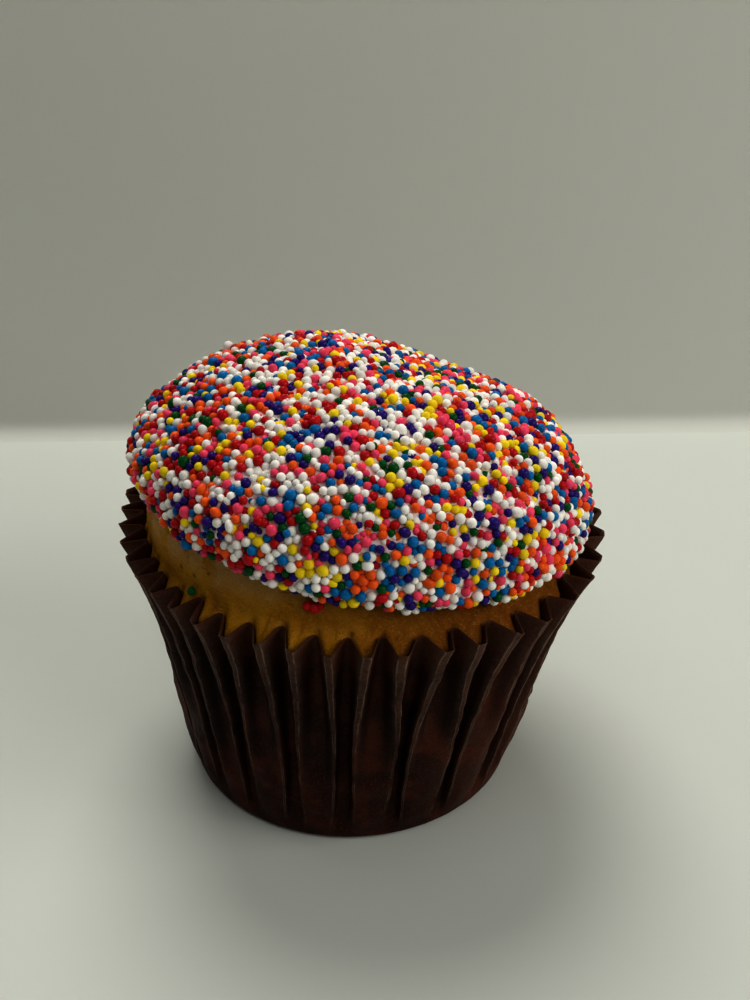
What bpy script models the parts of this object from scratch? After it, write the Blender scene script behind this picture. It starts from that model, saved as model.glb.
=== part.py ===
"""Cupcake: a fluted paper case, the sponge cake baked in it and a domed cap of icing.

The cake stands on Z = 0 with its origin at the middle of the flat base, in metres.
The front is -Y and the right is +X. Angles go round the cake from the front towards the right.
"""

from math import acos, atan2, cos, exp, pi, radians, sin, sqrt

import bmesh
import bpy
from mathutils import Vector

MM = 0.001

# Paper case: a flat disc pressed into a cup, so its wall keeps one slant length all the way round.
BASE_RADIUS = 25.4 * MM
BASE_FLAT_RADIUS = 24.2 * MM
WALL_SLANT = 44.4 * MM
RIM_RADIUS = 36.8 * MM
RIM_SHIFT = Vector((2.1 * MM, 0.2 * MM, 0.0))
RIM_TILT = Vector((-0.9 * MM, 0.3 * MM, 0.0))
RIM_OUT_OF_ROUND = ((2, 0.005, 0.002), (3, -0.004, 0.002), (4, -0.010, -0.002))
WALL_BULGE = 0.6 * MM
WALL_FLARE_SHARE = 0.30
WALL_FLARE_POWER = 4.2
PAPER_THICKNESS = 0.35 * MM

# Flutes: flat-topped pleats that deepen from the base to the rim, a little crowded on the left.
FLUTE_COUNT = 44
FLUTE_DEPTH = 3.5 * MM
FLUTE_PLATEAU = 0.10
FLUTE_START = 1.6
FLUTE_TURN = 0.16
FLUTE_CROWDING = 0.136

# Heights of the wall's sections, as shares of the wall from the base to the rim.
CORNER_SHARE = 0.035
WALL_SHARES = (0.13, 0.32, 0.54, 0.77, 1.0)
CAKE_WALL_TOP = 0.95

# Icing: a lopsided dome, low at the right, whose lip curls in under its widest line.
ICING_CENTRE = Vector((2.0 * MM, -1.3 * MM, 0.0))
ICING_RADIUS = 32.5 * MM
ICING_OUT_OF_ROUND = ((2, -0.020, 0.004), (3, -0.021, -0.003))
ICING_EDGE_HEIGHT = 49.6 * MM
ICING_EDGE_WAVES = ((1, 1.7 * MM, -4.6 * MM), (2, -1.3 * MM, -0.5 * MM))
ICING_TOP = Vector((-2.7 * MM, 0.6 * MM, 69.0 * MM))
ICING_FULLNESS = 2.0
ICING_FULLER_FRONT = 0.3
ICING_THICKNESS = 3.4 * MM
LIP_INSET = 2.4 * MM
LIP_DROP = 2.6 * MM
LIP_WIDTH = 1.2 * MM
DENT_CENTRE = Vector((12.0 * MM, 6.0 * MM, 0.0))
DENT_REACH = Vector((9.0 * MM, 12.0 * MM, 0.0))
DENT_DEPTH = 3.9 * MM

# Sponge: it fills the case and swells a little between the rim and the icing.
CAKE_BASE_RADIUS = 23.3 * MM
CAKE_CORNER_RADIUS = 24.3 * MM
CAKE_CLEARANCE = 0.75 * MM
JOINT_GAP = 0.4 * MM
CROWN_SWELL = 0.12
SHOULDER_SHARES = (0.3, 0.65, 1.0)

ROUND_SEGMENTS = 60
DOME_ANGLES = tuple(radians(a) for a in (81, 70, 59, 48, 37, 27, 17, 8, 0))
LIP_ANGLES = tuple(radians(a) for a in (32, 62, 90))
UNDERSIDE_ANGLES = tuple(radians(a) for a in (0, 20, 42, 66))

PAPER_COLOUR, PAPER_ROUGHNESS = (0.030, 0.012, 0.008), 0.60
SPONGE_COLOUR, SPONGE_ROUGHNESS = (0.42, 0.23, 0.055), 0.85
ICING_COLOUR, ICING_ROUGHNESS = (0.80, 0.72, 0.70), 0.45
SHARP_EDGE = radians(40.0)


def outward(angle):
    """The level direction that points out of the cake at this angle."""
    return Vector((sin(angle), -cos(angle), 0.0))


def waves(angle, terms):
    """A sum of cosine and sine waves round the cake, from (count, cosine, sine) terms."""
    return sum(c * cos(n * angle) + s * sin(n * angle) for n, c, s in terms)


# ---------------------------------------------------------------- paper case


def flare(share):
    """How far the wall has opened at this share of its height: gently at first, then quickly."""
    return (1 - WALL_FLARE_SHARE) * share + WALL_FLARE_SHARE * share**WALL_FLARE_POWER


def flute_depth(share):
    """Depth of the flutes at this share of the wall's height, growing quickly at first."""
    return FLUTE_DEPTH * share * (FLUTE_START - (FLUTE_START - 1) * share)


def rim_height(angle, rim_radius):
    """The wall's slant length gives the height that is left once the wall leans out."""
    lean = rim_radius - BASE_RADIUS
    return sqrt(WALL_SLANT**2 - lean**2) + RIM_TILT.dot(outward(angle))


def wall_point(angle, share, fold, inset=0.0):
    """A point of the case's wall. fold is 0 on a flute's outer ridge and 1 in its inner fold."""
    rim = RIM_RADIUS * (1 + waves(angle, RIM_OUT_OF_ROUND))
    ridge = BASE_RADIUS + (rim - BASE_RADIUS) * flare(share) + WALL_BULGE * sin(pi * share)
    radius = ridge - fold * flute_depth(share) - inset
    height = share * rim_height(angle, rim - fold * FLUTE_DEPTH)
    return RIM_SHIFT * share + outward(angle) * radius + Vector((0.0, 0.0, height))


def flute_corners():
    """(angle, fold) of the four corners of every flute, in order round the case."""
    corners = []
    for flute in range(FLUTE_COUNT):
        for offset, fold in (
            (-FLUTE_PLATEAU, 0.0),
            (FLUTE_PLATEAU, 0.0),
            (0.5 - FLUTE_PLATEAU, 1.0),
            (0.5 + FLUTE_PLATEAU, 1.0),
        ):
            turn = 2 * pi * (flute + offset) / FLUTE_COUNT
            corners.append((turn + FLUTE_TURN - FLUTE_CROWDING * cos(turn), fold))
    return corners


def cut_base(bm, corners):
    """The flat disc that the case stands on, and its rim's edges in order."""
    disc = bmesh.ops.create_circle(bm, cap_ends=True, segments=len(corners), radius=BASE_FLAT_RADIUS)
    edge = disc["verts"]
    for vertex, (angle, _) in zip(edge, corners):
        vertex.co = outward(angle) * BASE_FLAT_RADIUS
    return edge


def raise_ring(bm, ring, places):
    """Extrudes a ring of vertices and sets the new ring at these places. Returns the new ring."""
    edges = [bm.edges.get((a, b)) for a, b in zip(ring, ring[1:] + ring[:1])]
    made = bmesh.ops.extrude_edge_only(bm, edges=edges)["geom"]
    new = {v for v in made if isinstance(v, bmesh.types.BMVert)}
    raised = [next(e.other_vert(v) for e in v.link_edges if e.other_vert(v) in new) for v in ring]
    for vertex, place in zip(raised, places):
        vertex.co = place
    return raised


def make_paper_case(collection):
    corners = flute_corners()
    bm = bmesh.new()
    ring = cut_base(bm, corners)
    for share in (CORNER_SHARE, *WALL_SHARES):
        ring = raise_ring(bm, ring, [wall_point(a, share, fold) for a, fold in corners])
    bmesh.ops.recalc_face_normals(bm, faces=bm.faces)
    case = add_object("paper_case", bm, collection)
    wall = case.modifiers.new("paper thickness", "SOLIDIFY")
    wall.thickness = PAPER_THICKNESS
    wall.offset = -1.0
    finish(case, PAPER_COLOUR, PAPER_ROUGHNESS)


# ---------------------------------------------------------------- icing and cake


def icing_edge(angle, inset=0.0):
    """The icing's widest line, moved in by inset."""
    radius = ICING_RADIUS * (1 + waves(angle, ICING_OUT_OF_ROUND)) - inset
    height = ICING_EDGE_HEIGHT + waves(angle, ICING_EDGE_WAVES)
    return ICING_CENTRE + outward(angle) * radius + Vector((0.0, 0.0, height))


def dome_point(angle, edge, top, rise):
    """A point between the edge (rise 0) and the top (rise a quarter turn) of the dome at this angle."""
    power = 2 / (ICING_FULLNESS + ICING_FULLER_FRONT * cos(angle))
    across, up = cos(rise) ** power, sin(rise) ** power
    point = Vector(top)
    point.xy = top.xy + (edge.xy - top.xy) * across
    point.z = edge.z + (top.z - edge.z) * up
    off = point - DENT_CENTRE
    point.z -= DENT_DEPTH * exp(-((off.x / DENT_REACH.x) ** 2) - (off.y / DENT_REACH.y) ** 2)
    return point


def lip_point(angle, curl):
    """A point of the lip, which curls a quarter turn in and down from the widest line."""
    point = icing_edge(angle, LIP_INSET * (1 - cos(curl)))
    point.z -= LIP_DROP * sin(curl)
    return point


def underside_point(angle, rise, gap):
    """A point of the face where the icing lies on the cake, moved down into the cake by gap."""
    edge = icing_edge(angle, LIP_INSET + LIP_WIDTH + gap)
    edge.z -= LIP_DROP - LIP_WIDTH / 2 + gap
    top = ICING_TOP - Vector((0.0, 0.0, ICING_THICKNESS + gap))
    return dome_point(angle, edge, top, rise)


def icing_sections():
    """The icing's rings from the middle of its underside, round the lip, up to its top."""
    yield from ((lambda a, r=r: underside_point(a, r, 0.0)) for r in reversed(UNDERSIDE_ANGLES))
    yield from ((lambda a, c=c: lip_point(a, c)) for c in reversed(LIP_ANGLES))
    yield from ((lambda a, r=r: dome_point(a, icing_edge(a), ICING_TOP, r)) for r in reversed(DOME_ANGLES))


def base_ring(angle, radius, height):
    return outward(angle) * radius + Vector((0.0, 0.0, height))


def shoulder_point(angle, share):
    """A point of the cake between the case's wall (share 0) and the foot of the lip (share 1)."""
    low = wall_point(angle, CAKE_WALL_TOP, 1.0, CAKE_CLEARANCE)
    high = icing_edge(angle, LIP_INSET + LIP_WIDTH / 2)
    high.z -= LIP_DROP + JOINT_GAP
    swell = CROWN_SWELL * (high.z - low.z) * sin(pi * share)
    return low.lerp(high, share) + outward(angle) * swell


def sponge_sections():
    """The cake's rings from its flat base, up inside the paper and over the crown."""
    yield lambda a: base_ring(a, CAKE_BASE_RADIUS, 2 * PAPER_THICKNESS)
    yield lambda a: base_ring(a, CAKE_CORNER_RADIUS, 2 * PAPER_THICKNESS + WALL_SLANT * CORNER_SHARE)
    for share in (*WALL_SHARES[:-1], CAKE_WALL_TOP):
        yield lambda a, s=share: wall_point(a, s, 1.0, CAKE_CLEARANCE)
    for share in SHOULDER_SHARES:
        yield lambda a, s=share: shoulder_point(a, s)
    for rise in UNDERSIDE_ANGLES:
        yield lambda a, r=rise: underside_point(a, r, JOINT_GAP)


def ball_moved_onto(sections, bottom, top):
    """A sphere whose rings are moved onto these sections, and its poles onto bottom and top."""
    rings = [None, *sections, None]
    bm = bmesh.new()
    bmesh.ops.create_uvsphere(bm, u_segments=ROUND_SEGMENTS, v_segments=len(rings) - 1, radius=1.0)
    for vertex in bm.verts:
        ring = round((len(rings) - 1) * acos(max(-1.0, min(1.0, -vertex.co.z))) / pi)
        if rings[ring]:
            vertex.co = rings[ring](atan2(vertex.co.x, -vertex.co.y))
        else:
            vertex.co = bottom if ring == 0 else top
    return bm


def make_icing(collection):
    low = underside_point(0.0, pi / 2, 0.0)
    high = dome_point(0.0, ICING_TOP, ICING_TOP, pi / 2)
    bm = ball_moved_onto(icing_sections(), low, high)
    finish(add_object("icing", bm, collection), ICING_COLOUR, ICING_ROUGHNESS)


def make_sponge(collection):
    low = Vector((0.0, 0.0, 2 * PAPER_THICKNESS))
    high = underside_point(0.0, pi / 2, JOINT_GAP)
    bm = ball_moved_onto(sponge_sections(), low, high)
    finish(add_object("sponge", bm, collection), SPONGE_COLOUR, SPONGE_ROUGHNESS)


# ---------------------------------------------------------------- scene helpers


def add_object(name, bm, collection):
    mesh = bpy.data.meshes.new(name)
    bm.to_mesh(mesh)
    bm.free()
    obj = bpy.data.objects.new(name, mesh)
    collection.objects.link(obj)
    return obj


def finish(obj, colour, roughness):
    """Shades the object smooth and gives it a material of its own."""
    obj.data.shade_smooth()
    obj.data.set_sharp_from_angle(angle=SHARP_EDGE)
    material = bpy.data.materials.new(obj.name)
    material.use_nodes = True
    shader = material.node_tree.nodes["Principled BSDF"]
    shader.inputs["Base Color"].default_value = (*colour, 1.0)
    shader.inputs["Roughness"].default_value = roughness
    shader.inputs["Metallic"].default_value = 0.0
    obj.data.materials.append(material)


def clear_scene():
    for obj in list(bpy.data.objects):
        bpy.data.objects.remove(obj, do_unlink=True)


def main():
    clear_scene()
    collection = bpy.data.collections.new("cupcake")
    bpy.context.scene.collection.children.link(collection)
    make_paper_case(collection)
    make_sponge(collection)
    make_icing(collection)


main()
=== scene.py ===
"""Cupcake: the looks of an iced cupcake in a fluted paper case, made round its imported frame.

Lengths are in metres. The front is -Y and the right is +X, and angles go round the cake from the
front towards the right. The paper, the sponge and the icing replace the plain solids of the frame,
and the sugar beads lie on the icing.
"""

from math import cos, pi, radians, sin

import bpy
import numpy as np
from bpy.props import FloatProperty, FloatVectorProperty, IntProperty, PointerProperty
from bpy.types import Operator, Panel, PropertyGroup
from mathutils import Euler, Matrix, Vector, noise
from mathutils.bvhtree import BVHTree
from mathutils.kdtree import KDTree


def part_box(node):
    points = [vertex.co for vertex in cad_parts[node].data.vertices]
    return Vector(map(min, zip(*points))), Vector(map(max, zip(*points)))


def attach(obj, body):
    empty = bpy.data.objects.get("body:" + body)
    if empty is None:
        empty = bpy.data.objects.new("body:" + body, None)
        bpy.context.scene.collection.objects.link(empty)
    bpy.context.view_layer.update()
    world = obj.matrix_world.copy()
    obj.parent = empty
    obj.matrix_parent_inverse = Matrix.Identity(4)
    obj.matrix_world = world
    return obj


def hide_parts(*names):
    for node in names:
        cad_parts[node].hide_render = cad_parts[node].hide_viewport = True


bl_info = {
    "name": "Cupcake",
    "version": (1, 0, 0),
    "blender": (4, 5, 0),
    "location": "View3D > Sidebar > Cupcake",
    "description": "Makes an iced cupcake with sugar beads in a fluted paper case",
    "category": "Add Mesh",
}

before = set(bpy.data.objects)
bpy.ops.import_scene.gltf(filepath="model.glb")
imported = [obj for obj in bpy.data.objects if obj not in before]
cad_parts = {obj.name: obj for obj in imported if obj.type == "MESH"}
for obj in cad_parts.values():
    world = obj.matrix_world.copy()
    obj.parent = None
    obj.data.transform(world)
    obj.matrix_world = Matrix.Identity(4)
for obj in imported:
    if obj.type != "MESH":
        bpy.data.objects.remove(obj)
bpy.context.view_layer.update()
MM = 0.001


def length(name, default, description):
    return FloatProperty(name=name, default=default, description=description, unit="LENGTH", precision=5)


def share(name, default, description):
    return FloatProperty(name=name, default=default, description=description, min=0.0, max=1.0)


def colour(name, default, description):
    return FloatVectorProperty(
        name=name, default=default, description=description, subtype="COLOR", size=3, min=0.0, max=1.0
    )


# ---------------------------------------------------------------- sizes and colours


class CaseSizes(PropertyGroup):
    """The fluted paper case."""

    base_radius: length("Base radius", 25.4 * MM, "Radius where the wall starts")
    flat_radius: length("Flat radius", 24.2 * MM, "Radius of the flat that the case stands on")
    wall_slant: length("Wall slant", 44.4 * MM, "Length of the wall from base to rim, along the paper")
    rim_radius: length("Rim radius", 36.8 * MM, "Radius of the outer ridges at the rim")
    wall_bulge: length("Wall bulge", 0.6 * MM, "How far the cake swells the wall at half height")
    flute_count: IntProperty(name="Flutes", default=44, min=8, description="Flutes round the case")
    ridge_width: length("Ridge width", 1.2 * MM, "Width of a ridge's flat top at the rim")
    fold_width: length("Fold width", 1.7 * MM, "Width of an inner fold's flat bottom")
    thickness: length("Paper thickness", 0.14 * MM, "Thickness of the paper")
    seed: IntProperty(name="Seed", default=7, description="Picks how unevenly the flutes fall")
    paper: colour("Paper", (0.0250, 0.0070, 0.0036), "Greaseproof paper in its folds")
    # Painted light: lighter paper laid on the right side and along the rim for the light that falls there, not
    # paper that took up less grease.
    painted_light: colour("Dry paper", (0.100, 0.036, 0.018), "Paper on the side that took up no grease")
    # Painted shade: near-black paper laid on the steep sides of the folds, where shade falls.
    fold: colour("Folds", (0.0045, 0.0020, 0.0014), "Paper on the steep sides of the folds")
    # Partly worn paper and partly painted sheen on the ridge tops.
    ridge_wear_and_sheen: colour("Worn ridges", (0.108, 0.067, 0.047), "Paper where it is creased and rubbed")
    # Painted highlight: a bright colour for the thin lines along the sharp creases.
    crease_highlight: colour("Rubbed creases", (0.300, 0.222, 0.168), "Paper along its sharp creases")
    grease: colour("Grease stains", (0.075, 0.0180, 0.0070), "Paper where butter has soaked in")


class SpongeSizes(PropertyGroup):
    """The sponge cake."""

    tuck: length("Tuck", 0.22 * MM, "How far the wall stays inside the paper at the rim")
    shrink: length("Shrink", 1.0 * MM, "How much farther inside the hidden wall stays")
    slump: length("Slump", 0.5 * MM, "How far the crust has shrunk out of the front ridges at the rim")
    side_slump: length("Side slump", 2.9 * MM, "How far it has shrunk out of the ridges at the sides and back")
    blend: length("Swell", 2.4 * MM, "Height over the rim at which the folds have faded")
    hidden_top: length("Hidden top", 58.0 * MM, "Height where the sponge stops under the icing")
    lumps: length("Lumps", 0.5 * MM, "Height of the slow lumps of the crust")
    crumb: length("Crumb", 0.16 * MM, "Height of the fine crumb")
    golden: colour("Golden crumb", (0.43, 0.205, 0.008), "Baked sponge")
    toasted: colour("Toasted crumb", (0.200, 0.066, 0.004), "Sponge on its darker side")
    brown: colour("Brown crust", (0.29, 0.110, 0.004), "Sponge where it browned against the paper")
    pale: colour("Pale crust", (0.52, 0.330, 0.120), "Thin pale skin under the icing")
    smear: colour("Dye smear", (0.80, 0.030, 0.015), "Dye of a crushed bead")


class IcingSizes(PropertyGroup):
    """The dome of icing."""

    lumps: length("Lumps", 0.9 * MM, "Height of the slow lumps of the dome")
    ripples: length("Ripples", 0.7 * MM, "Height of the small lumps, which fray its lower edge")
    white: colour("White", (0.80, 0.70, 0.66), "Set icing")
    stained: colour("Stained", (0.62, 0.27, 0.28), "Icing where the beads' dye has run")


class BeadSizes(PropertyGroup):
    """The sugar beads."""

    diameter: length("Diameter", 1.34 * MM, "Usual diameter of a bead")
    spread: share("Spread", 0.135, "How much the diameters differ")
    cover: share("Cover", 0.84, "Share of the icing that the upper beads cover")
    under: share("Under", 0.45, "Sunken beads for each upper bead")
    perched: share("Perched", 0.022, "Beads sitting on top for each upper bead")
    seed: IntProperty(name="Seed", default=11, description="Picks where each bead lies")


class StudioSizes(PropertyGroup):
    """The floor, the backdrop, the lamps and the camera."""

    floor: colour("Floor", (0.59, 0.608, 0.560), "Pale matt table")
    backdrop: colour("Backdrop", (0.60, 0.605, 0.555), "Grey matt board")
    distance: length("Camera distance", 0.2261, "From the camera to the point it looks at")
    pitch: FloatProperty(name="Camera pitch", default=radians(31.3), subtype="ANGLE", description="Downward tilt")


BEAD_KINDS = {
    "white": (0.29, (0.96, 0.92, 0.84)),
    "red": (0.120, (0.50, 0.008, 0.012)),
    "pink": (0.105, (0.90, 0.085, 0.17)),
    "orange": (0.125, (0.93, 0.135, 0.016)),
    "yellow": (0.09, (0.97, 0.71, 0.016)),
    "blue": (0.095, (0.001, 0.165, 0.42)),
    "indigo": (0.08, (0.032, 0.010, 0.18)),
    "green": (0.055, (0.002, 0.092, 0.014)),
}


# ---------------------------------------------------------------- finishes


class Wire:
    """A socket of a finish that can stand in a sum."""

    def __init__(self, finish, socket):
        self.finish = finish
        self.socket = socket

    def sum_with(self, operation, *terms):
        return self.finish.add("ShaderNodeMath", {"operation": operation}, dict(enumerate(terms)))

    def __add__(self, other):
        return self.sum_with("ADD", self, other)

    def __sub__(self, other):
        return self.sum_with("SUBTRACT", self, other)

    def __rsub__(self, other):
        return self.sum_with("SUBTRACT", other, self)

    def __mul__(self, other):
        return self.sum_with("MULTIPLY", self, other)

    def __pow__(self, other):
        return self.sum_with("POWER", self, other)

    __radd__, __rmul__ = __add__, __mul__

    def between(self, low, high):
        """0 below low, 1 above high and a soft step from one to the other."""
        settings = {"interpolation_type": "SMOOTHSTEP"}
        return self.finish.add("ShaderNodeMapRange", settings, {"Value": self, 1: low, 2: high})


class Finish:
    """A material made of nodes round one Principled BSDF."""

    def __init__(self, name):
        self.material = bpy.data.materials.new(name)
        self.material.use_nodes = True
        self.tree = self.material.node_tree
        self.shader = self.tree.nodes["Principled BSDF"]
        self.place = self.add("ShaderNodeTexCoord", output="Object")

    def add(self, kind, settings=None, inputs=None, output=0):
        """Adds a node, sets it, joins or fills its inputs and returns one output."""
        node = self.tree.nodes.new(kind)
        for key, value in (settings or {}).items():
            setattr(node, key, value)
        for key, value in (inputs or {}).items():
            self.feed(node.inputs[key], value)
        return Wire(self, node.outputs[output])

    def feed(self, socket, value):
        if isinstance(value, Wire):
            self.tree.links.new(value.socket, socket)
        else:
            socket.default_value = value

    def set(self, **values):
        """Sets or joins sockets of the shader, named with _ for each space."""
        for name, value in values.items():
            self.feed(self.shader.inputs[name.replace("_", " ")], value)

    def speckle(self, scale, detail=2.0, rough=0.5, stretch=None):
        """Soft noise from 0 to 1, with about scale lumps a metre."""
        place = self.place
        if stretch:
            place = self.add("ShaderNodeMapping", None, {"Vector": place, "Scale": stretch})
        inputs = {"Vector": place, "Scale": scale, "Detail": detail, "Roughness": rough}
        return self.add("ShaderNodeTexNoise", None, inputs)

    def attribute(self, name):
        return self.add("ShaderNodeAttribute", {"attribute_name": name}, output="Fac")

    def blend(self, factor, first, second):
        """A colour between two, each a plain colour or a wire."""
        first, second = (c if isinstance(c, Wire) else (*c, 1.0) for c in (first, second))
        return self.add("ShaderNodeMix", {"data_type": "RGBA"}, {0: factor, 6: first, 7: second}, 2)

    def bump(self, height, distance, strength=1.0):
        inputs = {"Height": height, "Distance": distance, "Strength": strength}
        self.set(Normal=self.add("ShaderNodeBump", None, inputs))


def paper_finish(sizes):
    """Dark greaseproof paper: fibrous and stained with grease, worn along its ridges with painted sheen there,
    painted highlights along its creases, painted light on its right side and rim, painted shade in its folds.
    """
    finish = Finish("dark_paper")
    stain = finish.speckle(170, 3.0).between(0.44, 0.64)
    fibre = finish.speckle(2600, 3.0, 0.6, stretch=(1.0, 1.0, 0.6))
    grain = finish.speckle(3400, 2.0, 0.7).between(0.46, 0.70)
    crinkle = finish.speckle(1700, 4.0, 0.65)
    patch = finish.speckle(240, 2.0).between(0.32, 0.66)
    # Worn ridges with painted sheen: the ridge tops are drawn lighter, more so towards the rim, for rubbed paper
    # and for the sheen of the waxed paper there.
    high = finish.attribute("rise").between(0.25, 0.85)
    wear_and_sheen = finish.attribute("ridge").between(0.55, 0.95) * crinkle.between(0.20, 0.70) * (0.22 + 0.78 * high) * (0.55 + 0.45 * patch)
    # Painted highlight: a bright line along each sharp crease, brighter on the painted-light side.
    line = finish.attribute("crease") * finish.speckle(260, 3.0).between(0.32, 0.60)
    line = line * (0.60 + 0.40 * finish.attribute("painted_light"))
    # Painted light: the paper is drawn lighter on the right side and at the rim.
    base = finish.blend(finish.attribute("painted_light") * 0.80, sizes.paper, sizes.painted_light)
    base = finish.blend(stain * 0.85, base, sizes.grease)
    base = finish.blend(wear_and_sheen * 0.75, base, sizes.ridge_wear_and_sheen)
    base = finish.blend(grain * 0.45, base, (0.105, 0.040, 0.021))
    base = finish.blend(line * 0.85, base, sizes.crease_highlight)
    # Painted shade: the steep sides of the folds are drawn near black, less so on the painted-light side and at
    # the rim.
    shade = finish.attribute("steep") * (0.85 - 0.60 * finish.attribute("painted_light"))
    base = finish.blend(shade, base, sizes.fold)
    dark = finish.blend(fibre.between(0.35, 0.75) * 0.35, base, (0.010, 0.005, 0.004))
    finish.set(Base_Color=dark, Roughness=0.44 + 0.22 * fibre, Specular_IOR_Level=0.05)
    finish.bump(fibre + crinkle * 1.6 + finish.speckle(700, 2.0) * 1.5, 0.06 * MM, 0.8)
    return finish.material


def sponge_finish(sizes):
    """Golden sponge: brown where it touched the paper, pale under the icing, with painted shade in its pores."""
    finish = Finish("baked_sponge")
    patch = finish.speckle(150, 3.0).between(0.35, 0.68)
    crumb = finish.speckle(1500, 4.0, 0.62)
    pore = finish.add("ShaderNodeTexVoronoi", None, {"Vector": finish.place, "Scale": 620.0})
    hollow = 1 - pore.between(0.10, 0.34)
    pale = finish.attribute("pale") * finish.speckle(300, 3.0).between(0.25, 0.6)
    grain = finish.speckle(3600, 2.0, 0.7)
    crease = finish.speckle(520, 3.0, 0.6, stretch=(0.5, 0.5, 3.0)).between(0.60, 0.70)
    base = finish.blend(patch * 0.75, sizes.golden, sizes.brown)
    base = finish.blend(pale * 0.9, base, sizes.pale)
    base = finish.blend(finish.attribute("toast"), base, sizes.toasted)
    base = finish.blend(crease * 0.55, base, (0.15, 0.050, 0.004))
    base = finish.blend((1 - grain.between(0.28, 0.50)) * 0.42, base, (0.16, 0.060, 0.004))
    base = finish.blend(grain.between(0.56, 0.72) * 0.30, base, (0.60, 0.36, 0.09))
    base = finish.blend(finish.attribute("smear"), base, sizes.smear)
    # Painted shade: the pores are drawn dark in patches.
    base = finish.blend(hollow * finish.speckle(400, 1.0).between(0.5, 0.66) * 0.6, base, (0.075, 0.026, 0.006))
    base = finish.blend(crumb.between(0.50, 0.76) * 0.16, base, (0.60, 0.40, 0.15))
    finish.set(Base_Color=base, Roughness=0.78, Specular_IOR_Level=0.04)
    finish.bump(crumb - hollow * 0.4 + grain * 0.5, 0.16 * MM, 0.9)
    return finish.material


def icing_finish(sizes):
    """Set icing, white with the pink of dye that has run from the beads."""
    finish = Finish("white_icing")
    dye = finish.speckle(700, 3.0).between(0.36, 0.66)
    base = finish.blend(dye * 0.8, sizes.white, sizes.stained)
    finish.set(Base_Color=base, Roughness=0.42)
    finish.bump(finish.speckle(1600, 2.0), 0.06 * MM, 0.6)
    return finish.material


def bead_finish(name, tint):
    """A sugar bead: an even colour with paler and darker beads, cloudy and faintly pitted."""
    finish = Finish(f"sugar_{name}")
    tone = finish.attribute("tone")
    cloud = finish.speckle(1100, 3.0, 0.6).between(0.3, 0.75)
    deep = tuple(0.72 * c for c in tint)
    milky = tuple(min(1.0, 1.15 * c + 0.003) for c in tint)
    base = finish.blend(tone, deep, tint)
    base = finish.blend(cloud * 0.35, base, milky)
    finish.set(Base_Color=base, Roughness=0.16 + 0.12 * cloud, Specular_IOR_Level=0.13)
    finish.bump(finish.speckle(2400, 2.0), 0.035 * MM, 0.5)
    return finish.material


def floor_finish(sizes):
    finish = Finish("pale_table")
    cloud = finish.speckle(9, 3.0)
    paler = tuple(min(1.0, 1.04 * c) for c in sizes.floor)
    finish.set(Base_Color=finish.blend(cloud, sizes.floor, paler), Roughness=0.6)
    finish.bump(finish.speckle(900, 2.0), 0.05 * MM, 0.25)
    return finish.material


def backdrop_finish(sizes):
    """Grey board, seen from its front only, so that it hides nothing from behind."""
    finish = Finish("grey_board")
    cloud = finish.speckle(7, 3.0)
    paler = tuple(min(1.0, 1.05 * c) for c in sizes.backdrop)
    finish.set(Base_Color=finish.blend(cloud, sizes.backdrop, paler), Roughness=0.8)
    back = finish.add("ShaderNodeNewGeometry", output="Backfacing")
    clear = finish.add("ShaderNodeBsdfTransparent")
    board = Wire(finish, finish.shader.outputs[0])
    mixed = finish.add("ShaderNodeMixShader", None, {0: back, 1: board, 2: clear})
    finish.feed(finish.tree.nodes["Material Output"].inputs["Surface"], mixed)
    return finish.material


# ---------------------------------------------------------------- modelling helpers


def start_alone():
    """Deselects everything, so that an operator acts on the new piece only."""
    if bpy.context.object and bpy.context.object.mode != "OBJECT":
        bpy.ops.object.mode_set(mode="OBJECT")
    bpy.ops.object.select_all(action="DESELECT")


def take(obj):
    """Makes obj the only selected and the active object."""
    start_alone()
    obj.select_set(True)
    bpy.context.view_layer.objects.active = obj
    return obj


def new_piece(name):
    """Names the object that an operator has just added."""
    obj = bpy.context.object
    obj.name = obj.data.name = name
    return obj


def copy_of_node(node, name):
    """A copy of a frame solid with its loose triangles merged and paired into quads."""
    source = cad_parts[node]
    obj = bpy.data.objects.new(name, source.data.copy())
    bpy.context.scene.collection.objects.link(obj)
    obj.data.materials.clear()
    take(obj)
    bpy.ops.object.mode_set(mode="EDIT")
    bpy.ops.mesh.select_all(action="SELECT")
    bpy.ops.mesh.remove_doubles(threshold=1e-6)
    bpy.ops.mesh.tris_convert_to_quads(face_threshold=pi, shape_threshold=pi)
    bpy.ops.object.mode_set(mode="OBJECT")
    return obj


def apply_modifier(obj, name, kind, **settings):
    modifier = obj.modifiers.new(name, kind)
    for key, value in settings.items():
        setattr(modifier, key, value)
    take(obj)
    bpy.ops.object.modifier_apply(modifier=name)


def smooth_more(obj, levels):
    apply_modifier(obj, "round", "SUBSURF", levels=levels, render_levels=levels)


def roughen(obj, name, kind, size, height, group=""):
    """Moves the surface in and out by a cloudy pattern with lumps of this size."""
    texture = bpy.data.textures.new(name, kind)
    texture.noise_scale = size
    settings = {"texture": texture, "strength": height, "mid_level": 0.5, "vertex_group": group}
    apply_modifier(obj, name, "DISPLACE", texture_coords="LOCAL", **settings)


def places_of(obj):
    """The object's vertices as rows of x, y and z."""
    found = np.empty(len(obj.data.vertices) * 3)
    obj.data.vertices.foreach_get("co", found)
    return found.reshape(-1, 3)


def move_vertices(obj, places):
    obj.data.vertices.foreach_set("co", np.asarray(places, np.float32).ravel())
    obj.data.update()


def write_attribute(obj, name, values):
    layer = obj.data.attributes.new(name, "FLOAT", "POINT")
    layer.data.foreach_set("value", np.asarray(values, np.float32).ravel())


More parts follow.
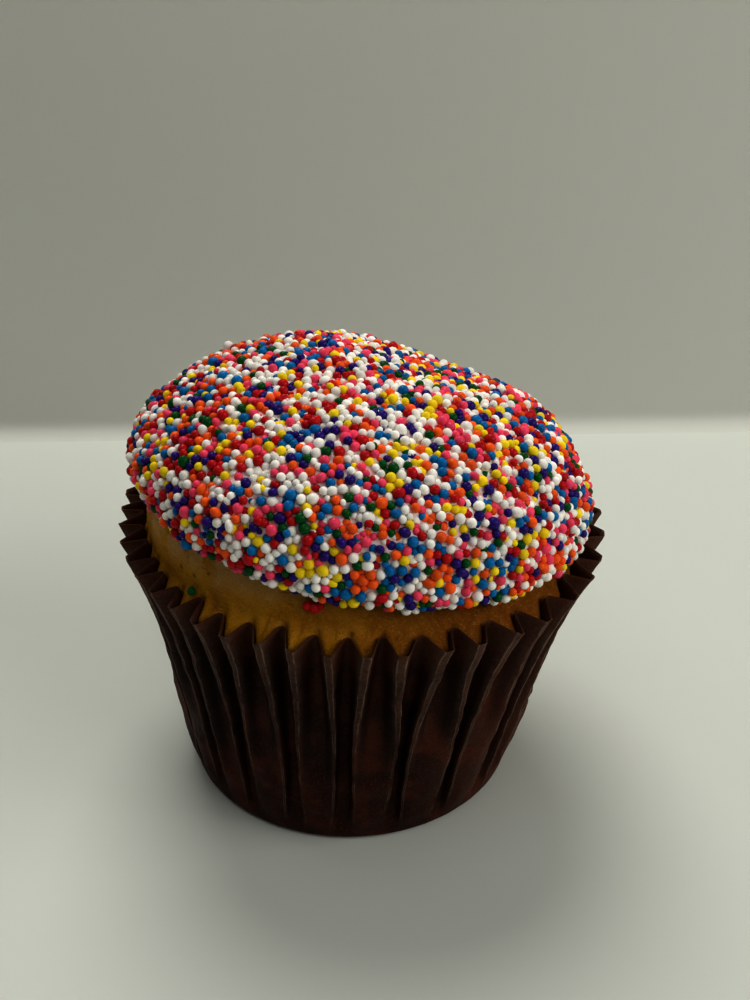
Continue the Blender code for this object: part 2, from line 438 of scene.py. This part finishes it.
def finish_piece(obj, material, slot, *nodes):
    """Shades the piece smooth, gives it its material, hangs it on the root body and hides the frame solids that it
    replaces.
    """
    obj.data.materials.clear()
    obj.data.materials.append(material)
    obj.data.shade_smooth()
    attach(obj, "root")
    if nodes:
        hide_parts(*nodes)


def soft_step(value, low, high):
    """0 below low, 1 above high and a soft step from one to the other."""
    t = np.clip((value - low) / (high - low), 0.0, 1.0)
    return t * t * (3 - 2 * t)


def waves(angle, terms):
    """A sum of cosine and sine waves round the cake, from (count, cosine, sine) terms."""
    return sum(c * np.cos(n * angle) + s * np.sin(n * angle) for n, c, s in terms)


# ---------------------------------------------------------------- paper case

RIM_SHIFT = (2.1 * MM, 0.2 * MM)
RIM_TILT = (-0.9 * MM, 0.3 * MM)
RIM_OUT_OF_ROUND = ((2, 0.005, 0.002), (3, -0.004, 0.002), (4, -0.010, -0.002))
FLARE_SHARE, FLARE_POWER = 0.30, 4.2
FLUTE_TURN, FLUTE_CROWDING = 0.16, 0.136
CORNER_SHARE, CORNER_STEPS, WALL_STEPS = 0.030, 4, 60
FLANK_STOPS = (0.045, 0.36, 0.68, 0.93)


def flare(s):
    """How far the wall has opened at a share s of its height."""
    return (1 - FLARE_SHARE) * s + FLARE_SHARE * s**FLARE_POWER


def ridge_radius(sizes, angle, s):
    """Radius of the case over its ridges."""
    rim = sizes.rim_radius * (1 + waves(angle, RIM_OUT_OF_ROUND))
    return sizes.base_radius + (rim - sizes.base_radius) * flare(s) + sizes.wall_bulge * np.sin(pi * s)


def paper_and_pitch(sizes, s):
    """Paper in one flute, and the room for it round the case, at a share s of the wall's height."""
    paper = 2 * pi * (sizes.base_radius + sizes.wall_slant * s) / sizes.flute_count
    return paper, 2 * pi * ridge_radius(sizes, 0.0, s) / sizes.flute_count


def ridge_lines(sizes, s, draw):
    """Where each ridge runs, counted in flutes, at each share s of the wall's height.

    Low down the cake pops every other fold out flat, which squeezes its neighbours into deep narrow
    pleats. At the rim the ridges lean a little to either side.
    """
    count = sizes.flute_count
    paper, pitch = paper_and_pitch(sizes, s)
    onset = draw.uniform(0.42, 0.60, count // 2)
    popped = np.where(draw.random(count // 2) < 0.85, draw.uniform(0.80, 0.97, count // 2), 0.35)
    popped = popped * (1 - soft_step(s, onset - 0.34, onset + 0.46)) * (paper / pitch - 1) / 2
    lean = draw.uniform(-0.10, 0.10, count) * soft_step(s, 0.45, 1.0)
    drift = draw.uniform(-0.09, 0.09, count) * (1 - soft_step(s, 0.2, 0.8))
    wobble = [[noise.noise(Vector((7.0 * line, 7.0 * up, 0.5))) for line in range(count)] for up in s[:, 0]]
    kinks = [[noise.noise(Vector((7.0 * line, 24.0 * up, 9.5))) for line in range(count)] for up in s[:, 0]]
    lines = np.arange(count) + lean + drift + 0.035 * np.array(wobble) + 0.03 * np.array(kinks)
    lines[:, ::2] -= popped
    lines[:, 1::2] += popped
    return lines


def flute_depths(sizes, s, width, draw):
    """How deep each fold goes, from the paper that is left once it spans from ridge to ridge."""
    paper, pitch = paper_and_pitch(sizes, s)
    crown = sizes.ridge_width * (0.24 + 0.76 * soft_step(s, 0.35, 1.0)) * draw.uniform(0.8, 1.2, sizes.flute_count)
    fold = sizes.fold_width * (1 - 0.52 * soft_step(s, 0.55, 1.0)) + 0 * width
    fold = np.minimum(fold, 0.6 * (width * pitch - crown))
    flank = (paper - crown - fold) / 2
    run = (width * pitch - crown - fold) / 2
    depth = np.sqrt(np.maximum(flank**2 - run**2, 0.0)) * draw.uniform(0.90, 1.02, sizes.flute_count)
    swell = 0.45 * MM * soft_step(width * pitch / paper, 0.86, 0.99) * (1 - soft_step(s, 0.3, 0.7))
    return (depth - swell) * soft_step(s, 0.03, 0.12), crown / pitch, fold / pitch


def flute_stops(width, crown, fold, skew):
    """(place across, share of the fold's depth, share of a crease) of each vertex from ridge to ridge."""
    left, right = crown / 2 + 0 * width, width - crown / 2
    middle = left + (right - left) * (0.5 + skew)
    near, far = middle - fold / 2, middle + fold / 2
    stops = [(0 * width, 0.0, 0.0), (0.68 * left, 0.0, 0.1), (0.92 * left, 0.01, 1.0)]
    stops += [(left + (near - left) * t, t, 0.0) for t in FLANK_STOPS]
    stops += [(near + (middle - near) * 0.45, 0.985, 0.0), (middle, 1.0, 0.0), (far - (far - middle) * 0.45, 0.985, 0.0)]
    stops += [(right - (right - far) * t, t, 0.0) for t in reversed(FLANK_STOPS)]
    stops += [(width - 0.92 * crown / 2, 0.01, 1.0), (width - 0.68 * crown / 2, 0.0, 0.1)]
    return stops


def case_wall(sizes, s):
    """The wall at shares s of its height: places as rings by columns by xyz, then arrays of rings by
    columns with each place's angle, its shares of a ridge and of a crease, and how steep its fold is,
    which weighs the painted shade on the fold."""
    draw = np.random.default_rng(sizes.seed)
    s = np.asarray(s, float)[:, None]
    lines = ridge_lines(sizes, s, draw)
    width = np.roll(lines, -1, axis=1) - lines
    width[:, -1] += sizes.flute_count
    depth, crown, fold = flute_depths(sizes, s, width, draw)
    skew = draw.uniform(-0.06, 0.06, sizes.flute_count)
    uneven = draw.uniform(-0.3, 0.3, sizes.flute_count) * MM
    stops = flute_stops(width, crown, fold, skew)
    across = np.stack([lines + stop[0] for stop in stops], axis=2).reshape(len(s), -1)
    share_in, crease = (
        np.stack([stop[k] + 0 * width for stop in stops], axis=2).reshape(len(s), -1) for k in (1, 2)
    )
    deep = np.repeat(depth, len(stops), axis=1) * share_in
    turn = 2 * pi * across / sizes.flute_count
    angle = turn + FLUTE_TURN - FLUTE_CROWDING * np.cos(turn)
    lean = ridge_radius(sizes, angle, 1.0) - 3.4 * MM * share_in - sizes.base_radius
    tilt = RIM_TILT[0] * np.sin(angle) - RIM_TILT[1] * np.cos(angle)
    height = s * (np.sqrt(sizes.wall_slant**2 - lean**2) + tilt + np.repeat(uneven, len(stops)) * s**6)
    radius = ridge_radius(sizes, angle, s) - deep
    x = RIM_SHIFT[0] * s + np.sin(angle) * radius
    y = RIM_SHIFT[1] * s - np.cos(angle) * radius
    # Weight of the painted shade on the steep sides of the folds, faded out towards the rim.
    steep = 4 * share_in * (1 - share_in) * np.repeat(np.clip(depth / (1.6 * MM), 0, 1), len(stops), axis=1)
    steep = steep * (1 - 0.8 * soft_step(s, 0.74, 0.96))
    return np.stack([x, y, height], axis=2), angle, 1 - share_in, crease, steep


def case_corner(sizes, first_ring):
    """The rounded corner between the flat base and the wall, from the flat outwards."""
    angle = np.arctan2(first_ring[:, 0], -first_ring[:, 1])
    reach = np.hypot(first_ring[:, 0], first_ring[:, 1]) - sizes.flat_radius
    rings = []
    for bend in np.linspace(0.0, pi / 2, CORNER_STEPS + 1)[:-1]:
        radius = sizes.flat_radius + reach * sin(bend)
        height = first_ring[:, 2] * (1 - cos(bend))
        rings.append(np.stack([np.sin(angle) * radius, -np.cos(angle) * radius, height], axis=1))
    return np.array(rings)


def crumple(places):
    """Creases that run up the paper and small dents all over it, none of them on the flat base."""
    moved = places.copy()
    for ring in range(1, len(places)):
        grow = min(1.0, ring / (CORNER_STEPS + 4))
        for vertex in range(places.shape[1]):
            x, y, z = places[ring, vertex]
            crease = noise.noise(Vector((x * 900, y * 900, z * 90)))
            dent = noise.noise(Vector((x * 330 + 7, y * 330, z * 330)))
            crinkle = noise.noise(Vector((x * 1100, y * 1100 + 5, z * 1100)))
            out = (0.07 * crease + 0.18 * dent + 0.05 * crinkle) * MM * grow
            reach = max(1e-6, (x * x + y * y) ** 0.5)
            moved[ring, vertex, 0] += x / reach * out
            moved[ring, vertex, 1] += y / reach * out
    return moved


def tube(name, places):
    """An open tube through rings of places: a cylinder cut into rings and moved onto them.

    Returns it with the number of the ring and of the column of each vertex.
    """
    rings, columns = places.shape[:2]
    start_alone()
    bpy.ops.mesh.primitive_cylinder_add(
        vertices=columns, radius=1.0, depth=1.0, end_fill_type="NOTHING", location=(0, 0, 0.5)
    )
    obj = new_piece(name)
    bpy.ops.object.transform_apply()
    bpy.ops.object.mode_set(mode="EDIT")
    bpy.ops.mesh.select_mode(type="EDGE")
    bpy.ops.mesh.select_all(action="DESELECT")
    bpy.ops.object.mode_set(mode="OBJECT")
    for edge in obj.data.edges:
        low, high = (obj.data.vertices[v].co.z for v in edge.vertices)
        edge.select = abs(high - low) > 0.5
    bpy.ops.object.mode_set(mode="EDIT")
    bpy.ops.mesh.subdivide(number_cuts=rings - 2)
    bpy.ops.object.mode_set(mode="OBJECT")
    grid = places_of(obj)
    ring = np.rint(grid[:, 2] * (rings - 1)).astype(int)
    column = np.rint(np.arctan2(grid[:, 0], -grid[:, 1]) * columns / (2 * pi)).astype(int) % columns
    move_vertices(obj, places[ring, column])
    return obj, ring, column


def close_end(obj, chosen):
    """Fills one end ring of a tube with a flat face."""
    take(obj)
    bpy.ops.object.mode_set(mode="EDIT")
    bpy.ops.mesh.select_mode(type="VERT")
    bpy.ops.mesh.select_all(action="DESELECT")
    bpy.ops.object.mode_set(mode="OBJECT")
    obj.data.vertices.foreach_set("select", chosen)
    bpy.ops.object.mode_set(mode="EDIT")
    bpy.ops.mesh.edge_face_add()
    bpy.ops.object.mode_set(mode="OBJECT")


def face_outwards(obj):
    """Turns every face of a tube with a flat base outwards."""
    take(obj)
    bpy.ops.object.mode_set(mode="EDIT")
    bpy.ops.mesh.select_all(action="SELECT")
    bpy.ops.mesh.normals_make_consistent(inside=False)
    bpy.ops.object.mode_set(mode="OBJECT")
    base = min(obj.data.polygons, key=lambda face: face.center.z)
    if base.normal.z > 0:
        bpy.ops.object.mode_set(mode="EDIT")
        bpy.ops.mesh.flip_normals()
        bpy.ops.object.mode_set(mode="OBJECT")


def make_case(sizes):
    wall, _, ridge, crease, steep = case_wall(sizes, np.linspace(CORNER_SHARE, 1.0, WALL_STEPS))
    places = crumple(np.concatenate([case_corner(sizes, wall[0]), wall]))
    obj, ring, column = tube("fluted_paper_case", places)
    rise = np.clip((ring - CORNER_STEPS) / (WALL_STEPS - 1), 0, 1)
    fade = soft_step(rise, 0.03, 0.25)
    row = np.maximum(ring - CORNER_STEPS, 0)
    # Masks for the paint: ridge for the worn ridge tops with their painted sheen, crease for the painted highlight
    # lines, steep for the painted shade in the folds.
    write_attribute(obj, "ridge", ridge[row, column] * fade)
    write_attribute(obj, "crease", crease[row, column] * soft_step(rise, 0.02, 0.10))
    write_attribute(obj, "steep", steep[row, column] * soft_step(rise, 0.02, 0.10))
    write_attribute(obj, "rise", rise)
    # Painted light mask: the right side and the rim, where the paper is drawn lighter for the light that falls
    # there.
    lit_side = soft_step(places_of(obj)[:, 0], 9 * MM, 30 * MM)
    write_attribute(obj, "painted_light", np.maximum(0.85 * lit_side, 1.0 * soft_step(rise, 0.80, 0.97)))
    close_end(obj, ring == 0)
    face_outwards(obj)
    apply_modifier(obj, "paper", "SOLIDIFY", thickness=sizes.thickness, offset=-1.0)
    finish_piece(obj, paper_finish(sizes), "case_paper", "paper_case")
    return obj


# ---------------------------------------------------------------- sponge

SPONGE_AXIS = (2.0 * MM, -1.3 * MM)
SPONGE_SHARES = (0.05, 0.20, 0.35, 0.50, 0.62, 0.72, 0.80, 0.86, 0.90, 0.93, 0.955, 0.975)
BAND_STEPS = 34
SMEAR = (-4.2 * MM, -30.0 * MM, 46.4 * MM)


def solid_surface(node):
    """The surface of a frame solid, to find points on."""
    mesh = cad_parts[node].data
    return BVHTree.FromPolygons([v.co for v in mesh.vertices], [p.vertices for p in mesh.polygons])


def make_sponge(sizes, case):
    """The sponge fills the folds of the paper, swells over its rim and goes on up under the icing."""
    wall, angle, ridge, _, _ = case_wall(case, SPONGE_SHARES)
    s = np.array(SPONGE_SHARES)[:, None]
    side = soft_step(np.abs(np.arctan2(np.sin(angle), np.cos(angle))), radians(30), radians(72))
    slump = sizes.slump + (sizes.side_slump - sizes.slump) * side
    inset = case.thickness + sizes.tuck + slump * ridge * soft_step(s, 0.72, 0.95)
    inset = inset + sizes.shrink * (1 - soft_step(s, 0.80, 0.95))
    wall[:, :, 0] -= np.sin(angle) * inset
    wall[:, :, 1] += np.cos(angle) * inset
    surface = solid_surface("sponge")
    top = wall[-1]
    out = top[:, :2] - SPONGE_AXIS
    reach = np.linalg.norm(out, axis=1)
    out /= reach[:, None]
    band = np.empty((BAND_STEPS, *top.shape))
    for step in range(BAND_STEPS):
        rise = (step + 1) / BAND_STEPS
        for column, (x, y, z) in enumerate(top):
            height = z + (sizes.hidden_top - z) * rise
            start = Vector((*SPONGE_AXIS, height))
            found = surface.ray_cast(start, Vector((*out[column], 0.0)))[3]
            blend = soft_step(height - z, 0.0, sizes.blend)
            radius = reach[column] + ((found or reach[column]) - reach[column]) * blend
            band[step, column] = (*(SPONGE_AXIS + out[column] * radius), height)
    obj, ring, _ = tube("sponge_cake", np.concatenate([wall, band]))
    close_end(obj, ring == 0)
    close_end(obj, ring == ring.max())
    face_outwards(obj)
    places = places_of(obj)
    shown = soft_step(ring, len(wall) - 4.0, len(wall) + 3.0)
    group = obj.vertex_groups.new(name="open")
    for index in np.nonzero(shown > 0)[0]:
        group.add([int(index)], float(shown[index]), "REPLACE")
    roughen(obj, "crust lumps", "CLOUDS", 3.2 * MM, sizes.lumps, "open")
    roughen(obj, "crumb", "CLOUDS", 0.7 * MM, sizes.crumb, "open")
    left = soft_step(-places[:, 0] - 0.6 * places[:, 1], 5 * MM, 30 * MM)
    high = soft_step(ring, len(wall) + 5.0, len(wall) + 16.0)
    write_attribute(obj, "pale", left * high)
    write_attribute(obj, "toast", soft_step(places[:, 0] - 0.3 * places[:, 1], -2 * MM, 26 * MM))
    from_smear = np.linalg.norm((places - SMEAR) * (0.8, 1.0, 1.3), axis=1)
    write_attribute(obj, "smear", 0.7 * (1 - soft_step(from_smear, 0.6 * MM, 1.3 * MM)))
    finish_piece(obj, sponge_finish(sizes), "sponge_cake", "sponge")
    return obj


# ---------------------------------------------------------------- icing and beads

# Beads that lie on the sponge or stand out of the icing: kind, place in millimetres and share of the usual size.
STRAY_BEADS = (
    ("green", (-21.1, -24.2, 44.9), 1.0),
    ("white", (-17.9, 10.4, 65.4), 1.2),
    ("red", (-5.0, -30.5, 46.9), 0.95),
    ("red", (-4.1, -30.6, 46.6), 1.05),
    ("red", (-3.3, -30.5, 46.9), 0.90),
)
# Places in millimetres where neighbours share a colour, and how far it reaches.
SAME_COLOUR = (("orange", (2.7, -32.3, 52.5), 1.5),)

def make_icing(sizes):
    obj = copy_of_node("icing", "icing_dome")
    smooth_more(obj, 2)
    roughen(obj, "slow lumps", "CLOUDS", 8.0 * MM, sizes.lumps)
    roughen(obj, "small lumps", "CLOUDS", 2.6 * MM, sizes.ripples)
    finish_piece(obj, icing_finish(sizes), "white_icing", "icing")
    return obj


def coated_faces(obj):
    """The icing's triangles that carry beads: its outside down to the underside of its lip."""
    mesh = obj.data
    mesh.calc_loop_triangles()
    low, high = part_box("icing")
    middle = (low + high) / 2
    corners, areas = [], []
    for triangle in mesh.loop_triangles:
        centre = sum((mesh.vertices[v].co for v in triangle.vertices), Vector()) / 3
        out = Vector((centre.x - middle.x, centre.y - middle.y, 0.0)).normalized()
        faces_out = triangle.normal.z > 0.1 or triangle.normal.dot(out) > 0.15
        if faces_out and triangle.normal.z > -0.85:
            corners.append([mesh.vertices[v].co[:] for v in triangle.vertices])
            areas.append(triangle.area)
    return np.array(corners), np.array(areas)


def scatter(corners, areas, count, draw):
    """Points spread evenly at random over these triangles."""
    pick = draw.choice(len(areas), count, p=areas / areas.sum())
    u, v = draw.random((2, count, 1))
    fold = u + v > 1
    u, v = np.where(fold, 1 - u, u), np.where(fold, 1 - v, v)
    a, b, c = (corners[pick, k] for k in range(3))
    return a + u * (b - a) + v * (c - a)


def on_surface(surface, points):
    """The nearest points of a surface and its normals there."""
    found = [surface.find_nearest(Vector(p)) for p in points]
    return np.array([f[0] for f in found]), np.array([f[1] for f in found])


def push_apart(points, radii, fixed, closeness):
    """One round of shoving: each bead moves off those that it overlaps. The first fixed beads stay."""
    tree = KDTree(len(points))
    for index, point in enumerate(points):
        tree.insert(point, index)
    tree.balance()
    shove = np.zeros_like(points)
    reach = 2 * radii.max() * closeness
    for index in range(fixed, len(points)):
        here = Vector(points[index])
        for there, other, gap in tree.find_range(here, reach):
            lack = (radii[index] + radii[other]) * closeness - gap
            if other != index and lack > 0:
                shove[index] += np.array((here - there) / max(gap, 1e-7)) * lack * 0.5
    return points + shove


def settle(surface, points, radii, rounds, closeness):
    """Beads shoved apart over the surface until they lie side by side."""
    for _ in range(rounds):
        points = push_apart(points, radii, 0, closeness)
        points, _ = on_surface(surface, points)
    return points


def free_spots(surface, candidates, points, radii, radius, closeness, wanted):
    """Candidates that lie in the holes between beads and apart from each other."""
    tree = KDTree(len(points))
    for index, point in enumerate(points):
        tree.insert(point, index)
    tree.balance()
    kept = []
    for candidate in candidates:
        here = Vector(candidate)
        near = tree.find_range(here, 2.4 * radius)
        if any(gap < (radii[other] + radius) * closeness for _, other, gap in near):
            continue
        if any((here - Vector(k)).length < 1.5 * radius for k in kept[-400:]):
            continue
        kept.append(candidate)
        if len(kept) == wanted:
            break
    return np.array(kept)


def lay_beads(icing, sizes):
    """Places, outward directions, radii and lifts of every bead on the icing."""
    draw = np.random.default_rng(sizes.seed)
    corners, areas = coated_faces(icing)
    surface = BVHTree.FromObject(icing, bpy.context.evaluated_depsgraph_get())
    radius = sizes.diameter / 2
    count = int(sizes.cover * areas.sum() / (pi * radius**2))
    radii = radius * np.clip(draw.normal(1.0, sizes.spread, count), 0.62, 1.38)
    points = settle(surface, scatter(corners, areas, count, draw), radii, 12, 0.93)
    spots = scatter(corners, areas, 40 * count, draw)
    spots = free_spots(surface, spots, points, radii, radius, 0.66, int(sizes.under * count))
    under = radius * np.clip(draw.normal(0.92, sizes.spread, len(spots)), 0.62, 1.3)
    lift = draw.uniform(-0.10, 0.42, count) * MM
    sunk = draw.uniform(-0.45, -0.10, len(spots)) * MM
    perched = scatter(corners, areas, int(2 * sizes.perched * count), draw)
    perched = perched[perched[:, 2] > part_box("icing")[0].z + 7 * MM][:int(sizes.perched * count)]
    above = radius * np.clip(draw.normal(0.95, sizes.spread, len(perched)), 0.7, 1.25)
    high = draw.uniform(0.40, 0.65, len(perched)) * MM
    places, normals = on_surface(surface, np.concatenate([points, spots, perched]))
    return places, normals, np.concatenate([radii, under, above]), np.concatenate([lift, sunk, high]), draw


def pick_kinds(places, draw):
    """A colour for each bead, at random by its share, with a few neighbours of one colour."""
    shares = np.array([kind[0] for kind in BEAD_KINDS.values()])
    kinds = draw.choice(len(shares), len(places), p=shares / shares.sum())
    tree = KDTree(len(places))
    for index, place in enumerate(places):
        tree.insert(place, index)
    tree.balance()
    for index in np.nonzero(draw.random(len(places)) < 0.12)[0]:
        near = tree.find_n(places[index], 2)
        kinds[index] = kinds[near[1][1]]
    return kinds


def bead_shape():
    """The vertices and faces of one round bead of radius 1."""
    start_alone()
    bpy.ops.mesh.primitive_ico_sphere_add(subdivisions=2, radius=1.0)
    ball = bpy.context.object
    points = places_of(ball)
    faces = np.array([face.vertices[:] for face in ball.data.polygons])
    bpy.data.objects.remove(ball, do_unlink=True)
    return points, faces


def bead_cluster(name, centres, radii, draw, shape):
    """One mesh that holds a bead at each centre, each turned and a little out of round."""
    ball, faces = shape
    rows = []
    for centre, radius in zip(centres, radii):
        turn = np.array(Euler(draw.uniform(0, 2 * pi, 3)).to_matrix())
        stretch = 1 + draw.normal(0.0, 0.045, 3)
        if draw.random() < 0.08:
            stretch[0] *= draw.uniform(1.15, 1.4)
        rows.append((ball * stretch * radius) @ turn.T + centre)
    points = np.concatenate(rows)
    offsets = np.arange(len(centres))[:, None, None] * len(ball)
    mesh = bpy.data.meshes.new(name)
    mesh.from_pydata(points.tolist(), [], (faces[None] + offsets).reshape(-1, 3).tolist())
    obj = bpy.data.objects.new(name, mesh)
    bpy.context.scene.collection.objects.link(obj)
    write_attribute(obj, "tone", np.repeat(draw.random(len(centres)), len(ball)))
    return obj


def make_beads(icing, sizes):
    places, normals, radii, lift, draw = lay_beads(icing, sizes)
    centres = places + normals * lift[:, None]
    kinds = pick_kinds(places, draw)
    names = list(BEAD_KINDS)
    for kind, place, reach in SAME_COLOUR:
        near = np.linalg.norm(centres - np.array(place) * MM, axis=1) < reach * MM
        kinds[near] = names.index(kind)
    centres = np.concatenate([centres, [np.array(place) * MM for _, place, _ in STRAY_BEADS]])
    radii = np.concatenate([radii, [size * sizes.diameter / 2 for _, _, size in STRAY_BEADS]])
    kinds = np.concatenate([kinds, [names.index(kind) for kind, _, _ in STRAY_BEADS]])
    shape = bead_shape()
    for number, (kind, (_, tint)) in enumerate(BEAD_KINDS.items()):
        chosen = kinds == number
        obj = bead_cluster(f"sugar_beads_{kind}", centres[chosen], radii[chosen], draw, shape)
        finish_piece(obj, bead_finish(kind, tint), "white_icing")
    print("beads:", len(centres))


# ---------------------------------------------------------------- studio

LOOK_AT = Vector((4.0 * MM, 0.0, 44.8 * MM))
LENS, SENSOR = 54.0, 36.0
BACKDROP_DISTANCE, BACKDROP_TURN, BACKDROP_HEIGHT = 0.1045, radians(-1.7), 0.16
COVE_RADIUS, COVE_STEPS = 0.004, 6
CONTRAST = 1.3
LAMPS = (
    ("window", (-0.08, 0.35, 0.70), 0.45, 3.6),
    ("left", (-0.50, 0.30, 0.50), 0.40, 0.4),
    ("above", (-0.12, -0.28, 0.74), 0.50, 0.75),
    ("right", (0.55, -0.45, 0.50), 0.50, 1.95),
    ("board", (0.70, -0.15, 0.40), 0.40, 2.0),
)


def add_plane(name, size, location, rotation=(0.0, 0.0, 0.0)):
    start_alone()
    bpy.ops.mesh.primitive_plane_add(size=size, location=location, rotation=rotation)
    obj = new_piece(name)
    bpy.ops.object.transform_apply()
    return obj


def add_lamp(name, place, aim, size, power, tint):
    data = bpy.data.lights.new(name, "AREA")
    data.shape = "DISK"
    data.size, data.energy, data.color = size, power, tint
    lamp = bpy.data.objects.new(name, data)
    bpy.context.scene.collection.objects.link(lamp)
    lamp.location = place
    lamp.rotation_euler = (Vector(aim) - Vector(place)).to_track_quat("-Z", "Y").to_euler()


def add_camera(sizes):
    data = bpy.data.cameras.new("camera")
    data.lens, data.sensor_width = LENS, SENSOR
    camera = bpy.data.objects.new("camera", data)
    bpy.context.scene.collection.objects.link(camera)
    ahead = Vector((0.0, cos(sizes.pitch), -sin(sizes.pitch)))
    camera.location = LOOK_AT - ahead * sizes.distance
    camera.rotation_euler = (pi / 2 - sizes.pitch, 0.0, 0.0)
    data.clip_start, data.clip_end = 0.01, 10.0
    bpy.context.scene.camera = camera


def make_studio(sizes):
    floor = add_plane("floor", 3.0, (0.0, 0.0, -0.02 * MM))
    floor.data.materials.append(floor_finish(sizes))
    start_alone()
    bpy.ops.mesh.primitive_grid_add(x_subdivisions=8, y_subdivisions=COVE_STEPS + 1, size=1.0)
    board = new_piece("backdrop")
    places = places_of(board)
    step = np.rint((places[:, 1] + 0.5) * (COVE_STEPS + 1))
    bend = np.minimum(step / COVE_STEPS, 1.0) * pi / 2
    places[:, 0] *= 3.0
    places[:, 1] = BACKDROP_DISTANCE - COVE_RADIUS * (1 - np.sin(bend)) - places[:, 0] * sin(BACKDROP_TURN)
    places[:, 2] = np.where(step > COVE_STEPS, BACKDROP_HEIGHT, COVE_RADIUS * (1 - np.cos(bend)))
    move_vertices(board, places)
    board.data.shade_smooth()
    board.data.materials.append(backdrop_finish(sizes))
    board.visible_shadow = False
    for name, place, size, power in LAMPS:
        add_lamp(name, place, (0.0, 0.0, 0.03), size, power, (1.0, 0.99, 0.945))
    world = bpy.data.worlds.new("studio")
    world.use_nodes = True
    world.node_tree.nodes["Background"].inputs[0].default_value = (0.94, 0.97, 1.0, 1.0)
    world.node_tree.nodes["Background"].inputs[1].default_value = 0.125
    bpy.context.scene.world = world
    bpy.context.scene.view_settings.view_transform = "Standard"
    bpy.context.scene.view_settings.gamma = 1 / CONTRAST
    add_camera(sizes)


# ---------------------------------------------------------------- operators and panel


class CUPCAKE_OT_case(Operator):
    """Makes the fluted paper case"""

    bl_idname = "cupcake.case"
    bl_label = "Paper case"

    def execute(self, context):
        make_case(context.scene.cupcake_case)
        return {"FINISHED"}


class CUPCAKE_OT_sponge(Operator):
    """Makes the sponge cake"""

    bl_idname = "cupcake.sponge"
    bl_label = "Sponge"

    def execute(self, context):
        make_sponge(context.scene.cupcake_sponge, context.scene.cupcake_case)
        return {"FINISHED"}


class CUPCAKE_OT_topping(Operator):
    """Makes the dome of icing and the sugar beads that cover it"""

    bl_idname = "cupcake.topping"
    bl_label = "Icing and beads"

    def execute(self, context):
        icing = make_icing(context.scene.cupcake_icing)
        make_beads(icing, context.scene.cupcake_beads)
        return {"FINISHED"}


class CUPCAKE_OT_studio(Operator):
    """Makes the floor, the backdrop, the lamps and the camera"""

    bl_idname = "cupcake.studio"
    bl_label = "Studio"

    def execute(self, context):
        make_studio(context.scene.cupcake_studio)
        return {"FINISHED"}


GROUPS = {
    "cupcake_case": CaseSizes,
    "cupcake_sponge": SpongeSizes,
    "cupcake_icing": IcingSizes,
    "cupcake_beads": BeadSizes,
    "cupcake_studio": StudioSizes,
}
OPERATORS = (CUPCAKE_OT_studio, CUPCAKE_OT_case, CUPCAKE_OT_sponge, CUPCAKE_OT_topping)


class CUPCAKE_PT_panel(Panel):
    """Lists the pieces and their sizes"""

    bl_label = "Cupcake"
    bl_idname = "CUPCAKE_PT_panel"
    bl_space_type = "VIEW_3D"
    bl_region_type = "UI"
    bl_category = "Cupcake"

    def draw(self, context):
        for operator in OPERATORS:
            self.layout.operator(operator.bl_idname)
        for name, group in GROUPS.items():
            box = self.layout.box()
            for key in group.__annotations__:
                box.prop(getattr(context.scene, name), key)


CLASSES = (*GROUPS.values(), *OPERATORS, CUPCAKE_PT_panel)


def register():
    for cls in CLASSES:
        bpy.utils.register_class(cls)
    for name, group in GROUPS.items():
        setattr(bpy.types.Scene, name, PointerProperty(type=group))


def unregister():
    for name in GROUPS:
        delattr(bpy.types.Scene, name)
    for cls in reversed(CLASSES):
        bpy.utils.unregister_class(cls)


def main():
    register()
    bpy.ops.cupcake.studio()
    bpy.ops.cupcake.case()
    bpy.ops.cupcake.sponge()
    bpy.ops.cupcake.topping()


if __name__ == "__main__":
    main()
